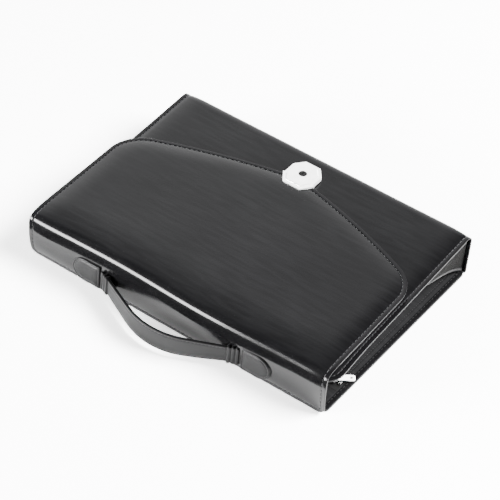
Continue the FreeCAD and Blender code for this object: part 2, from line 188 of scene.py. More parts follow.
def leather(name, dark, light, rough, gloss, coat=0.0, coat_rough=0.08, grain=0.15, streak=0.2):
    """Imitation leather: fine pores, brushed streaks along it and a slight waviness."""
    s = Shader(name, uv=True)
    plain = s.place((1, 1, 1))
    streaks = s.noise(s.place((1, 9, 1), math.radians(6)), 26, 4, 0.6, 0.4)
    cloud = s.noise(plain, 9, 3, 0.55)
    pores = s.cells(plain, 1500)
    fine = s.noise(plain, 900, 2, 0.6)
    waves = s.noise(s.place((1, 2.2, 1), math.radians(10)), 38, 2, 0.5)
    mixed = s.maths("MULTIPLY", s.span(streaks, 0.3, 0.7, 0.35, 1.0), s.span(cloud, 0.3, 0.7, 0.6, 1.0))
    scuffs = s.maths("ADD", streaks, s.maths("MULTIPLY", fine, 0.5))
    s.set(Base_Color=s.tint(mixed, dark, light),
          Roughness=s.span(scuffs, 0.5, 1.0, rough - 0.05 * streak, rough + 0.07 * streak),
          Specular_IOR_Level=gloss, Coat_Weight=coat, Coat_Roughness=coat_rough, Coat_IOR=1.4)
    low = s.bump(waves, 0.10 * streak, 0.0010)
    mid = s.bump(streaks, 0.05 * streak, 0.0005, low)
    normal = s.bump(s.maths("ADD", s.span(pores, 0.0, 0.25, 0.0, 1.0), fine), grain, 0.00005, mid)
    s.put(s.bsdf, "Normal", normal)
    s.put(s.bsdf, "Coat Normal", mid)
    return s.material


def thread(name, color):
    s = Shader(name, uv=True)
    twist = s.wave(s.place((1, 1, 1), math.radians(35)), 900, "X")
    fuzz = s.noise(s.place((1, 1, 1)), 2500, 3, 0.6)
    s.set(Base_Color=s.tint(s.maths("MULTIPLY", twist, fuzz), tuple(c * 0.5 for c in color), color),
          Roughness=s.span(fuzz, 0.3, 0.7, 0.38, 0.5), Specular_IOR_Level=0.2, Sheen_Weight=0.03)
    s.put(s.bsdf, "Normal", s.bump(twist, 0.5, 0.0001))
    return s.material


def weave(name, dark, light, count, rough=0.55, strength=0.7):
    """Plain woven cloth with this many threads to the metre."""
    s = Shader(name, uv=True)
    plain = s.place((1, 1, 1))
    warp = s.wave(plain, count, "X")
    weft = s.wave(plain, count, "Y")
    over = s.maths("MAXIMUM", s.maths("MULTIPLY", warp, s.maths("SUBTRACT", 1.0, weft)),
                   s.maths("MULTIPLY", weft, s.maths("SUBTRACT", 1.0, warp)))
    uneven = s.noise(plain, 60, 4, 0.6)
    shade = s.maths("MULTIPLY", s.span(over, 0.05, 0.8, 0.2, 1.0), s.span(uneven, 0.3, 0.7, 0.6, 1.0))
    s.set(Base_Color=s.tint(shade, dark, light),
          Roughness=s.span(uneven, 0.3, 0.7, rough - 0.06, rough + 0.06),
          Specular_IOR_Level=0.02)
    s.put(s.bsdf, "Normal", s.bump(over, strength, 0.00025))
    return s.material


def metal(name, dark, light, rough, brushed=0.0, metallic=1.0):
    """Plated or brushed metal with smudges and small pits."""
    s = Shader(name)
    lines = s.noise(s.place((1, 30, 1)), 180, 4, 0.6)
    smudge = s.noise(s.place((1, 1, 1)), 120, 4, 0.6)
    pits = s.noise(s.place((1, 1, 1)), 2400, 2, 0.5)
    wear = s.maths("ADD", smudge, s.maths("MULTIPLY", lines, brushed))
    s.set(Base_Color=s.tint(s.span(smudge, 0.35, 0.75, 0.0, 1.0), light, dark), Metallic=metallic,
          Roughness=s.span(wear, 0.4, 1.0 + brushed, rough - 0.04, rough + 0.036))
    s.put(s.bsdf, "Normal", s.bump(s.maths("ADD", lines, pits), 0.05 + 0.2 * brushed, 0.00004))
    return s.material


def fibre(name, dark, light):
    s = Shader(name)
    flakes = s.noise(s.place((1, 1, 4)), 400, 5, 0.65, 0.6)
    s.set(Base_Color=s.tint(s.span(flakes, 0.3, 0.7, 0.0, 1.0), dark, light),
          Roughness=s.span(flakes, 0.3, 0.7, 0.7, 0.9))
    s.put(s.bsdf, "Normal", s.bump(flakes, 0.4, 0.0003))
    return s.material


DEEP_BLACK = (0.0010, 0.0010, 0.0011)
BLACK = (0.0012, 0.0012, 0.0013)
SHEEN_BLACK = (0.0026, 0.0026, 0.0028)
WORN_BLACK = (0.003, 0.003, 0.0031)
LEATHER = leather("case_leather", DEEP_BLACK, SHEEN_BLACK, rough=0.18, gloss=0.145, coat=0.035,
                  coat_rough=0.06, grain=0.06, streak=0.25)
COVER_LEATHER = leather("cover_leather", DEEP_BLACK, SHEEN_BLACK, rough=0.18, gloss=0.18, coat=0.05,
                        coat_rough=0.06, grain=0.06, streak=0.25)
BACK_LEATHER = leather("back_leather_finish", BLACK, SHEEN_BLACK, rough=0.6, gloss=0.1, grain=0.2,
                       streak=0.3)
HANDLE_LEATHER = leather("handle_leather_finish", BLACK, WORN_BLACK, rough=0.36, gloss=0.085, coat=0.02)
EDGE_PAINT = leather("edge_paint", BLACK, WORN_BLACK, rough=0.5, gloss=0.08)
LINING = leather("lining_finish", WORN_BLACK, (0.006, 0.006, 0.0062), rough=0.45, gloss=0.04, streak=0.3)
THREAD = thread("thread", (0.016, 0.016, 0.017))
DARK_THREAD = thread("dark_thread", (0.008, 0.008, 0.008))
CLOTH = weave("gusset_weave", (0.0006, 0.0006, 0.0006), (0.008, 0.008, 0.0078), 420, rough=0.85,
              strength=1.0)
TAPE = weave("zip_tape_weave", (0.002, 0.002, 0.002), (0.008, 0.008, 0.008), 420)
# The clasp is only 0.6 metallic: its near-white colour is partly the chrome's own reflection and partly a
# painted reflection of the bright studio.
CHROME_AND_PAINTED_REFLECTION = metal("clasp_chrome_painted_reflection", (0.82, 0.82, 0.82), (0.93, 0.93, 0.92), 0.2, metallic=0.6)
# The lock face is near black: painted shade standing in for the dark keyhole.
LOCK_STEEL_PAINTED_SHADE = metal("lock_steel_painted_shade", (0.02, 0.02, 0.02), (0.05, 0.05, 0.05), 0.25)
STEEL = metal("steel_finish", (0.45, 0.45, 0.46), (0.62, 0.62, 0.63), 0.30, brushed=0.6)
ZIP_METAL = metal("zip_metal_finish", (0.80, 0.80, 0.79), (0.90, 0.90, 0.89), 0.22)
# The zip puller is near-white and barely metallic: its colour is a painted reflection of the bright studio,
# kept even where the cover shades it.
PULL_PAINTED_REFLECTION = metal("zip_pull_painted_reflection", (0.92, 0.92, 0.91), (0.97, 0.97, 0.96), 0.5, metallic=0.2)
ZIP_TEETH = metal("zip_teeth_finish", (0.25, 0.24, 0.23), (0.42, 0.41, 0.40), 0.30)
BOARD = fibre("board_fibre", (0.10, 0.09, 0.075), (0.19, 0.17, 0.14))


# ---------------------------------------------------------------- mesh helpers
def make(name, points, faces, material, uv):
    """A smooth mesh object from points in millimetres; uv is one pair of metres for each point."""
    mesh = bpy.data.meshes.new(name)
    mesh.from_pydata((np.asarray(points, float) * MM).tolist(), [], [tuple(map(int, f)) for f in faces])
    work = bmesh.new()
    work.from_mesh(mesh)
    bmesh.ops.recalc_face_normals(work, faces=work.faces)
    layer = work.loops.layers.uv.new("flat")
    for face in work.faces:
        for loop in face.loops:
            loop[layer].uv = uv[loop.vert.index]
    work.to_mesh(mesh)
    work.free()
    mesh.shade_smooth()
    mesh.materials.append(material)
    obj = bpy.data.objects.new(name, mesh)
    bpy.context.scene.collection.objects.link(obj)
    return obj


def tube_faces(base, rings, count):
    """Faces of a closed tube: this many rings of count points, from point base on, with flat ends."""
    faces = []
    for k in range(rings - 1):
        for m in range(count):
            a, b = base + k * count + m, base + k * count + (m + 1) % count
            faces.append((a, b, b + count, a + count))
    faces.append(tuple(base + m for m in reversed(range(count))))
    faces.append(tuple(base + (rings - 1) * count + m for m in range(count)))
    return faces


def sheet_faces(rows, count):
    """Faces of a closed sheet of two layers, each a grid of this many rows of count points."""
    size = rows * count
    faces = []
    for r in range(rows - 1):
        for c in range(count - 1):
            a = r * count + c
            faces.append((a, a + 1, a + count + 1, a + count))
            faces.append((size + a + count, size + a + count + 1, size + a + 1, size + a))
    loop = list(range(count)) + [r * count + count - 1 for r in range(1, rows)]
    loop += [(rows - 1) * count + c for c in range(count - 2, -1, -1)]
    loop += [r * count for r in range(rows - 2, 0, -1)]
    for a, b in zip(loop, loop[1:] + loop[:1]):
        faces.append((a, b, size + b, size + a))
    return faces


def arc(start, middle, end, step):
    """Points from start up to but without end, on the circle through three points."""
    (ax, ay), (bx, by), (cx, cy) = start, middle, end
    d = 2 * (ax * (by - cy) + bx * (cy - ay) + cx * (ay - by))
    a, b, c = ax * ax + ay * ay, bx * bx + by * by, cx * cx + cy * cy
    ux = (a * (by - cy) + b * (cy - ay) + c * (ay - by)) / d
    uy = (a * (cx - bx) + b * (ax - cx) + c * (bx - ax)) / d
    radius = math.hypot(ax - ux, ay - uy)
    first = math.atan2(ay - uy, ax - ux)
    mid = (math.atan2(by - uy, bx - ux) - first) % (2 * math.pi)
    turn = (math.atan2(cy - uy, cx - ux) - first) % (2 * math.pi)
    if mid > turn:
        turn -= 2 * math.pi
    count = max(2, round(abs(turn) * radius / step))
    angles = [first + turn * i / count for i in range(count)]
    return [(ux + radius * math.cos(angle), uy + radius * math.sin(angle)) for angle in angles]


def line(start, end, step):
    count = max(1, round(math.dist(start, end) / step))
    return [(start[0] + (end[0] - start[0]) * i / count, start[1] + (end[1] - start[1]) * i / count)
            for i in range(count)]


def closed(runs, step):
    """A dense closed outline from two-point lines and three-point arcs."""
    points = []
    for run in runs:
        points += line(*run, step) if len(run) == 2 else arc(*run, step)
    return np.array(points)


def rounded(left, right, low, high, low_radius, high_radius):
    """Runs of a rectangle, anticlockwise, with two low and two high corner radii."""
    k = 1 - math.sqrt(0.5)
    a, b = low_radius, high_radius
    return [((left + a, low), (right - a, low)),
            ((right - a, low), (right - a * k, low + a * k), (right, low + a)),
            ((right, low + a), (right, high - b)),
            ((right, high - b), (right - b * k, high - b * k), (right - b, high)),
            ((right - b, high), (left + b, high)),
            ((left + b, high), (left + b * k, high - b * k), (left, high - b)),
            ((left, high - b), (left, low + a)),
            ((left, low + a), (left + a * k, low + a * k), (left + a, low))]


def inset(outline, distance):
    """The outline moved inwards; it runs anticlockwise."""
    before = outline - np.roll(outline, 1, 0)
    after = np.roll(outline, -1, 0) - outline
    sides = []
    for step in (before, after):
        side = np.stack([-step[:, 1], step[:, 0]], 1)
        sides.append(side / np.linalg.norm(side, axis=1)[:, None])
    middle = sides[0] + sides[1]
    middle /= np.linalg.norm(middle, axis=1)[:, None]
    return outline + middle * (distance / (middle * sides[0]).sum(1))[:, None]


def depth(points, outline):
    """How far each point is from the outline."""
    a = outline
    b = np.roll(outline, -1, 0) - a
    length = (b * b).sum(1)
    best = np.full(len(points), 1e9)
    for start in range(0, len(points), BATCH):
        part = points[start:start + BATCH]
        rel = part[:, None, :] - a[None]
        along = np.clip((rel * b[None]).sum(2) / length, 0, 1)
        gap = rel - along[..., None] * b[None]
        best[start:start + BATCH] = np.sqrt((gap * gap).sum(2).min(1))
    return best


# Distances from a panel's edge of the mesh's inner rings: close at the rounded edge and at the seam.
RINGS = (0.08, 0.22, 0.45, 0.9, 2.4, 3.6, 4.0, 4.3, 4.6, 4.9, 5.2, 5.6, 6.4)
RING_GAP = 1.2              # from the last ring to the nearest point of the grid inside it
BATCH = 4000                # points whose distances are worked out together


def flat_mesh(outline, rings, rows, columns):
    """Triangles that fill the outline, with edges along each ring: points, faces, outline indices."""
    points = [outline]
    links = []
    count = len(outline)
    index = np.arange(count)
    links.append(np.stack([index, np.roll(index, -1)], 1))
    for ring in rings:
        moved = inset(outline, ring)
        good = depth(moved, outline) > ring * 0.985
        place = np.cumsum(good) - 1 + sum(len(p) for p in points)
        points.append(moved[good])
        pair = good & np.roll(good, -1)
        links.append(np.stack([place[pair], np.roll(place, -1)[pair]], 1))
    grid = np.array([(x, t) for t in rows for x in columns])
    last = rings[-1] if rings else 0.0
    inside = contains(outline, grid)
    grid = grid[inside]
    points.append(grid[depth(grid, outline) > last + RING_GAP])
    points = np.concatenate(points)
    edges = np.concatenate(links)
    made = delaunay_2d_cdt([Vector(p) for p in points.tolist()], edges.tolist(), [], 1, 1e-6)
    place = {}
    for new, olds in enumerate(made[3]):
        for old in olds:
            place[old] = new
    flat = np.array([tuple(v) for v in made[0]])
    return flat, [tuple(f) for f in made[2]], [place[i] for i in range(count)]


def contains(outline, points):
    inside = np.zeros(len(points), bool)
    x, y = points[:, 0], points[:, 1]
    ax, ay = outline[-1]
    for bx, by in outline:
        if ay != by:
            crosses = ((ay > y) != (by > y)) & (x < (bx - ax) * (y - ay) / (by - ay) + ax)
            inside ^= crosses
        ax, ay = bx, by
    return inside


def slab(name, outline, rings, rows, columns, top, bottom, place, material, painted=False):
    """A closed sheet with these top and bottom heights at each (distance from the edge, x, t).

    A painted one has its cut edge in edge paint.
    """
    flat, faces, rim = flat_mesh(outline, rings, rows, columns)
    x, t = flat[:, 0], flat[:, 1]
    d = depth(flat, outline)
    d[rim] = 0.0
    points = np.concatenate([place(x, t, top(d, x, t)), place(x, t, bottom(d, x, t))])
    count = len(flat)
    under = [tuple(i + count for i in reversed(face)) for face in faces]
    sides = [(a, b, b + count, a + count) for a, b in zip(rim, rim[1:] + rim[:1])]
    uv = np.concatenate([flat, flat]) * MM
    obj = make(name, points, faces + under + sides, material, uv)
    if painted:
        obj.data.materials.append(EDGE_PAINT)
        at = np.concatenate([d, d])
        for polygon in obj.data.polygons:
            if at[list(polygon.vertices)].max() <= EDGE:
                polygon.material_index = 1
    return obj


class Profile:
    """The line of a leather strip in the YZ plane, from the foot of a wall up and over its fold."""

    def __init__(self, foot_y, side, knots, length, through):
        """side is the direction the strip turns to, knots are (t, degrees), and it passes through (y, z)."""
        step = 0.1
        blur = 45
        t = np.arange(0, length, step)
        tilt = np.interp(t, [k[0] for k in knots], [math.radians(k[1]) for k in knots])
        window = np.hanning(blur)
        tilt = np.convolve(np.pad(tilt, blur // 2, "edge"), window / window.sum(), "valid")
        y = foot_y + side * np.concatenate([[0], np.cumsum(np.sin(tilt[:-1]) * step)])
        z = np.concatenate([[0], np.cumsum(np.cos(tilt[:-1]) * step)])
        extra = through[1] - np.interp(through[0] * side, y * side, z)
        self.t = t
        self.extra = extra
        self.side = side
        self.y, self.z, self.tilt = y, z + extra, tilt

    def place(self, x, t, h):
        """Point at strip coordinates x, t and height h over the leather's outer face."""
        at = np.asarray(t) - self.extra
        tilt = np.interp(at, self.t, self.tilt)
        y = np.interp(at, self.t, self.y)
        z = np.interp(at, self.t, self.z)
        z = np.where(at < 0, np.asarray(t), z)
        return np.stack([np.asarray(x, float), y - self.side * np.cos(tilt) * h, z + np.sin(tilt) * h], 1)

    def t_at(self, y):
        """Strip coordinate where the strip, past its fold, reaches y."""
        return float(np.interp(y * self.side, self.y * self.side, self.t)) + self.extra


def edge_round(d, radius):
    u = np.clip(1 - d / radius, 0, 1)
    return -radius * (1 - np.sqrt(1 - u * u))


def groove(d, at, width, deep):
    return -deep * np.exp(-((d - at) / width) ** 2)


def swell(d, start, width, height):
    u = np.clip((d - start) / width, 0, 1)
    return height * (1 - (1 - u) ** 3)


def ramp(value, low, high):
    u = np.clip((value - low) / (high - low), 0, 1)
    return u * u * (3 - 2 * u)


def ripple(x, t, size, seed):
    """Slow unevenness, the same each run, about size high."""
    a = np.sin(x / 31.0 + 1.3 * seed) * np.cos(t / 23.0 + 0.7 * seed)
    b = np.sin(x / 17.0 - t / 41.0 + 2.1 * seed)
    c = np.cos(x / 53.0 + t / 29.0 + 0.4 * seed)
    return size * (0.45 * a + 0.25 * b + 0.3 * c)


def walk(points, closed_path=True):
    """Cumulative length and the points, with the first repeated at the end of a closed path."""
    if closed_path:
        points = np.concatenate([points, points[:1]])
    gaps = np.linalg.norm(np.diff(points, axis=0), axis=1)
    return np.concatenate([[0], np.cumsum(gaps)]), points


def stitches(name, path, place, height, pitch=5.2, length=3.7, radius=0.42, closed_path=True,
             material=THREAD):
    """A row of stitches along a path in strip coordinates, each dipping into the leather at its ends."""
    run, points = walk(path, closed_path)
    count = int(run[-1] // pitch)
    pitch = run[-1] / count
    around = np.linspace(0, 2 * math.pi, 7)[:-1]
    stations = np.array([0.0, 0.08, 0.25, 0.5, 0.75, 0.92, 1.0])
    thick = np.array([0.35, 0.8, 1.0, 1.05, 1.0, 0.8, 0.35]) * radius
    dip = np.array([-1.0, -0.45, 0.0, 0.12, 0.0, -0.45, -1.0]) * radius
    verts, faces, uv = [], [], []
    for index in range(count):
        at = (index + 0.5) * pitch + (stations - 0.5) * length
        x = np.interp(at, run, points[:, 0])
        t = np.interp(at, run, points[:, 1])
        low, high = place(x, t, height + dip - 0.5), place(x, t, height + dip + 0.5)
        middle = (low + high) / 2
        up = high - low
        along = np.gradient(middle, axis=0)
        along /= np.linalg.norm(along, axis=1)[:, None]
        across = np.cross(along, up)
        across /= np.linalg.norm(across, axis=1)[:, None]
        faces += tube_faces(len(verts), len(stations), len(around))
        for k in range(len(stations)):
            for angle in around:
                ray = math.cos(angle) * across[k] + math.sin(angle) * up[k]
                verts.append(middle[k] + thick[k] * ray)
                uv.append((at[k] * MM, angle * radius * MM))
    return make(name, verts, faces, material, uv)


# ---------------------------------------------------------------- sizes
HALF = 180.0
FRONT, REAR = -131.0, 131.0
TOP = 55.0
SPINE_TOP = 44.41
STITCH = 4.6                # stitch line, from the edge
STITCH_SINK = 0.22          # a stitch's middle lies this far under the leather's face
LINING_INSET = 7.4          # the lining's edge, from the leather's edge
EDGE = 0.4                  # radius of a sewn edge
HEM = 2.4                   # thickness of a sewn edge
PADDED = 3.4                # leather, foam and board together
FOLDED = 1.3                # thickness of the bare leather at a fold
STEP = 1.3                  # between the points of a panel's outline

# Tilt of each strip from upright, in degrees, at lengths along it from its foot.
WALL_TILTS = [(0, 0), (44.5, 0), (58.5, 80), (66, 85), (82, 90), (300, 90)]
COVER_TILTS = [(0, 0), (40, 0), (46, 30), (54, 86), (58, 93.9), (340, 93.9)]
wall_line = Profile(FRONT, 1, WALL_TILTS, 300, (0.0, TOP))
cover_line = Profile(REAR, -1, COVER_TILTS, 330, (0.0, SPINE_TOP))
FLAP_T = wall_line.t_at(FRONT + 5.0) - 5.0   # a flap point's t, less its distance from the wall
COVER_T = cover_line.t_at(-123.0)            # t at the cover's free edge
WALL_FOLD = (50, FLAP_T + 20)                # each strip is bare between these t
COVER_FOLD = (47, 60)


def wall_place(x, t, h):
    """Place on the wall and flap strip; the soft wall bulges out towards the front, a little unevenly."""
    points = wall_line.place(x, t, h)
    up = np.clip(t / 38, 0, 1)
    rise = (1 - (1 - up) ** 2) * (1 - ramp(t, 58, 120))
    bulge = 4.3 + 1.5 * np.cos((x - 40) / 36.6)
    points[:, 1] -= bulge * rise
    return points


def flap_runs():
    """Outline of the wall and flap strip, anticlockwise from the wall's lower left corner."""
    side, radius, corner_s, corner_x = HALF - 0.2, 44.0, 157.8, 179.5
    bow, tip = (86.0, 195.6), (20.0, 213.8)
    turn = math.radians(90 - 24.7)
    reach = radius * math.tan(turn / 2)
    centre = (corner_x - radius, corner_s - reach)
    start = (corner_x, corner_s - reach)
    middle = (centre[0] + radius * math.cos(turn / 2), centre[1] + radius * math.sin(turn / 2))
    end = (centre[0] + radius * math.cos(turn), centre[1] + radius * math.sin(turn))
    right = [((side, 5.0), start), (start, middle, end), (end, bow, tip)]
    left = [tuple((-x, s) for x, s in reversed(run)) for run in reversed(right)]

    def hang(point):
        """A flap point in strip coordinates; away from the wall, the flap sits a little to the left."""
        x, s = point
        return x - 3.0 * min(1.0, (s - 5.0) / (start[1] - 5.0)), s + FLAP_T

    flap = [tuple(hang(p) for p in run) for run in right + [(tip, (-tip[0], tip[1]))] + left]
    k = 1 - math.sqrt(0.5)
    foot, r = 0.6, 8.0
    first, last = flap[0][0], flap[-1][-1]
    return ([((-HALF + r, foot), (HALF - r, foot)),
             ((HALF - r, foot), (HALF - r * k, foot + r * k), (HALF, foot + r)),
             ((HALF, foot + r), first)] + flap
            + [(last, (-HALF, foot + r)),
               ((-HALF, foot + r), (-HALF + r * k, foot + r * k), (-HALF + r, foot))])


def rows_between(low, high, fine_low, fine_high, coarse=4.0, fine=0.8):
    return np.concatenate([np.arange(low, fine_low, coarse), np.arange(fine_low, fine_high, fine),
                           np.arange(fine_high, high, coarse)])


COLUMNS = np.arange(-178.0, 179.0, 4.0)
WALL_ROWS = rows_between(4, 275, 28, 66)
COVER_ROWS = rows_between(4, 305, 36, 64)
LINING_RINGS = (0.4, 0.9, 1.5)


def thinned(thick, t, fold):
    """The strip's thickness where it is padded, down to bare leather next to its fold."""
    low, high = fold
    bare = ramp(t, low - 3, low) * (1 - ramp(t, high, high + 3))
    return thick + (FOLDED - thick) * bare


def panel_top(d, x, t, swelling, unevenness, seed):
    """A rounded edge, a sewn groove and a soft swell inside it."""
    return (edge_round(d, EDGE) + groove(d, STITCH, 0.5, 0.6) + swell(d, STITCH + 0.6, 24, swelling)
            + ripple(x, t, unevenness, seed) * ramp(d, 8, 24))


def panel_under(d, t, fold):
    thick = HEM + (PADDED - HEM) * ramp(d, 5.5, 9)
    return -thinned(thick, t, fold) - edge_round(d, EDGE) * 0.9


def lining_top(t, fold):
    return 0.05 - thinned(PADDED, t, fold)


def lining_under(d, t, fold):
    return lining_top(t, fold) - 0.1 - 0.5 * np.sqrt(np.clip(d / 1.5, 0, 1))


# ---------------------------------------------------------------- the wall and flap
flap_outline = closed(flap_runs(), STEP)
wall_flap = slab("wall_flap_leather", flap_outline, RINGS, WALL_ROWS, COLUMNS,
                 lambda d, x, t: panel_top(d, x, t, 0.9 + 0.9 * ramp(t, 60, 90), 0.16, 1.0),
                 lambda d, x, t: panel_under(d, t, WALL_FOLD), wall_place, LEATHER, painted=True)
flap_lining = slab("wall_flap_lining", inset(flap_outline, LINING_INSET), LINING_RINGS, WALL_ROWS, COLUMNS,
                   lambda d, x, t: lining_top(t, WALL_FOLD), lambda d, x, t: lining_under(d, t, WALL_FOLD),
                   wall_place, LINING)
flap_seam = inset(flap_outline, STITCH)
flap_thread = stitches("wall_flap_stitching", flap_seam, wall_place, -STITCH_SINK)
flap_thread_under = stitches("wall_flap_stitching_inside", flap_seam, wall_place, -HEM - 0.05)
for piece in (wall_flap, flap_lining, flap_thread, flap_thread_under):
    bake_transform(piece)
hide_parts("wall_skin", "wall_foam", "wall_board", "flap_skin", "flap_foam", "flap_board",
            "flap_fold_strip")
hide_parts("wall_lining", "flap_lining")


# ---------------------------------------------------------------- the spine and cover
def cover_place(x, t, h):
    """Place on the spine and cover strip; the cover's free corners droop a little."""
    points = cover_line.place(x, t, h)
    points[:, 2] -= 4.5 * ramp(np.abs(x), 110, 180) * ramp(t, COVER_T - 70, COVER_T)
    return points


def cover_outline(foot_radius):
    return closed(rounded(-HALF, HALF, 0.0, COVER_T, foot_radius, 22.0), STEP)


spine_cover = slab("spine_cover_leather", cover_outline(3.0), RINGS[:-1], COVER_ROWS, COLUMNS,
                   lambda d, x, t: panel_top(d, x, t, 1.2, 0.14, 3.0),
                   lambda d, x, t: panel_under(d, t, COVER_FOLD), cover_place, COVER_LEATHER, painted=True)
cover_lining = slab("spine_cover_lining", inset(cover_outline(9.0), LINING_INSET), LINING_RINGS, COVER_ROWS,
                    COLUMNS, lambda d, x, t: lining_top(t, COVER_FOLD),
                    lambda d, x, t: lining_under(d, t, COVER_FOLD), cover_place, LINING)
cover_thread = stitches("spine_cover_stitching", inset(cover_outline(6.0), STITCH), cover_place,
                        -STITCH_SINK)
for piece in (spine_cover, cover_lining, cover_thread):
    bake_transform(piece)
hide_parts("spine_skin", "spine_board", "cover_skin", "cover_foam", "cover_board",
            "cover_fold_strip")
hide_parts("spine_lining", "cover_lining")


# ---------------------------------------------------------------- the back panel
BACK_THICK = 4.0
BACK_ROWS = np.arange(-124, 125, 6.0)
BACK_COLUMNS = np.arange(-178, 179, 6.0)


def on_back(x, t, h):
    """h is the height over the panel's inner face."""
    return np.stack([np.asarray(x, float), np.asarray(t, float), BACK_THICK + np.asarray(h, float)], 1)


def back_outline(radius):
    return closed(rounded(-HALF, HALF, FRONT + 4.3, REAR - 4.0, radius, radius), 1.5)


back_leather = slab("back_leather", back_outline(4.0), RINGS[:-4], BACK_ROWS, BACK_COLUMNS,
                    lambda d, x, t: edge_round(d, 1.0) - 0.7 * ramp(d, 6.0, 7.5) + groove(d, 5.2, 0.4, 0.3),
                    lambda d, x, t: -BACK_THICK - edge_round(d, 0.8), on_back, BACK_LEATHER)
back_lining = slab("back_inner_lining", inset(back_outline(9.0), 6.0), (0.4, 0.9, 1.6), BACK_ROWS,
                   BACK_COLUMNS,
                   lambda d, x, t: 0.45 * np.sqrt(np.clip(d / 1.6, 0, 1)) * (1 - 0.8 * ramp(d, 4, 30)) - 0.1,
                   lambda d, x, t: np.full(len(d), -0.8), on_back, LINING)
back_thread = stitches("back_stitching", inset(back_outline(4.0), 4.4), on_back, -0.05, material=DARK_THREAD)
for piece in (back_leather, back_lining, back_thread):
    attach(piece, "back")
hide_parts("back_skin", "back_board")
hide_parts("back_lining")


# ---------------------------------------------------------------- leather hinge inside, at the wall's foot
def hinge_strip():
    """A strip with a flat leg along the back panel, a quarter bend and a leg up the wall."""
    leg, radius, bend_y, bend_z, thick, half_length = 4.5, 2.5, -123.7, 7.4, 0.8, 173
    runs = []
    for u in np.linspace(0, 1, 25):
        along = min(u / 0.3, 1.0) - 1
        above = max(0.0, (u - 0.7) / 0.3)
        angle = min(max((u - 0.3) / 0.4, 0.0), 1.0) * math.pi / 2
        runs.append((bend_y - along * leg - radius * math.sin(angle),
                     bend_z + above * leg - radius * math.cos(angle), math.sin(angle), math.cos(angle)))
    xs = np.linspace(-half_length, half_length, 60)
    points, uv = [], []
    for layer in (0.0, -thick):
        for y, z, out, up in runs:
            for x in xs:
                points.append((x, y + out * layer, z + up * layer))
                uv.append((x * MM, (y + z) * MM))
    return make("wall_foot_hinge", points, sheet_faces(len(runs), len(xs)), LINING, uv)


foot_hinge = hinge_strip()
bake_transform(foot_hinge)
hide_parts("wall_fold_strip")


# ---------------------------------------------------------------- handle
HANDLE_X, HANDLE_Z = -2.0, 20.5
STRAP_END_HALF = 9.5        # half the strap's width at its ends
BOW_END = 72.0              # the strap widens between here and its middle
STRAP_HALF = 1.6            # half its thickness
STRAP_END = 112.5           # from the strap's middle to its ends, in x
KEEPER_FROM, KEEPER_TO = 72, 85
TAB_SEAM = 3.3              # the tab's stitch line, from its edge


def strap_edges(x):
    """Lower and upper edge of the strap at x, from its middle line."""
    bow = np.clip(1 - (x / BOW_END) ** 2, 0, 1)
    return -STRAP_END_HALF - 5.0 * bow, STRAP_END_HALF - 0.4 * bow


def strap_path():
    """The strap's middle line from end to end, as (x, out) each millimetre, and its outward normals."""
    arch, out, foot_out, foot = 82.0, 36.0, 4.2, 18.0
    angle = math.radians(25)
    radius = arch - STRAP_HALF
    centre = arch - out
    corner = arch * math.sin(angle) + (arch * math.cos(angle) - centre - foot_out) / math.tan(angle)
    foot_x = corner + foot * math.tan(angle / 2)
    bend = foot + STRAP_HALF
    half = [(radius * math.sin(a), radius * math.cos(a) - centre) for a in np.linspace(0, angle, 60)]
    half += [(foot_x - bend * math.sin(a), foot_out + foot - bend * math.cos(a))
             for a in np.linspace(angle, 0, 20)]
    half.append((STRAP_END - 0.5, half[-1][1]))
    half = np.array(half)
    whole = np.concatenate([half[::-1] * (-1, 1), half[1:]])
    run, whole = walk(whole, False)
    at = np.linspace(0, run[-1], int(run[-1]) + 1)
    line_points = np.stack([np.interp(at, run, whole[:, k]) for k in (0, 1)], 1)
    kernel = np.hanning(9)
    kernel /= kernel.sum()
    smooth = np.stack([np.convolve(np.pad(line_points[:, k], 4, "edge"), kernel, "valid")
                       for k in (0, 1)], 1)
    smooth[:5], smooth[-5:] = line_points[:5], line_points[-5:]
    along = np.gradient(smooth, axis=0)
    along /= np.linalg.norm(along, axis=1)[:, None]
    return smooth, np.stack([-along[:, 1], along[:, 0]], 1)


STRAP_LINE, STRAP_OUT = strap_path()


def along_strap(at):
    """The strap's middle line and outward normals at these lengths along it."""
    index = np.arange(len(STRAP_LINE))
    return [np.stack([np.interp(at, index, line_or_out[:, k]) for k in (0, 1)], 1)
            for line_or_out in (STRAP_LINE, STRAP_OUT)]


def sweep(name, low, high, section, steps=None):
    """A closed leather body along the strap between two x.

    section(u, x) gives its (out, up) outline at u, which runs from 0 to 1.
    """
    pick = np.where((STRAP_LINE[:, 0] >= low) & (STRAP_LINE[:, 0] <= high))[0]
    at = np.linspace(pick[0], pick[-1], steps or len(pick))
    middle, out = along_strap(at)
    points, uv = [], []
    for k in range(len(at)):
        ring = section(k / (len(at) - 1), middle[k][0])
        for o, up in ring:
            x, y = middle[k] + out[k] * o
            points.append((HANDLE_X + x, FRONT - y, HANDLE_Z + up))
            uv.append((at[k] * MM, (up + o) * MM))
    return make(name, points, tube_faces(0, len(at), len(ring)), HANDLE_LEATHER, uv)


def strap_section(u, x):
    """Two layers of leather sewn together: a groove round the middle of each edge, a sewn line near it."""
    low, high = strap_edges(x)
    # Distance in from the edge, and height of the face over the strap's middle.
    face = [(0.15, 1.15), (0.4, 1.48), (0.9, 1.6), (1.75, 1.6), (2.1, 1.25), (2.45, 1.6), (3.3, 1.7),
            (5.5, 1.8)]
    front = [(out, high - into) for into, out in face] + [(1.85, (low + high) / 2)]
    front += [(out, low + into) for into, out in reversed(face)]
    edge_low = [(0.35, low), (0.12, low + 0.5), (-0.12, low + 0.5), (-0.35, low)]
    back = [(-out, up) for out, up in reversed(front)]
    edge_high = [(-0.35, high), (-0.12, high - 0.5), (0.12, high - 0.5), (0.35, high)]
    return (front + [(0.9, low)] + edge_low + [(-0.9, low)] + back + [(-0.9, high)] + edge_high
            + [(0.9, high)])


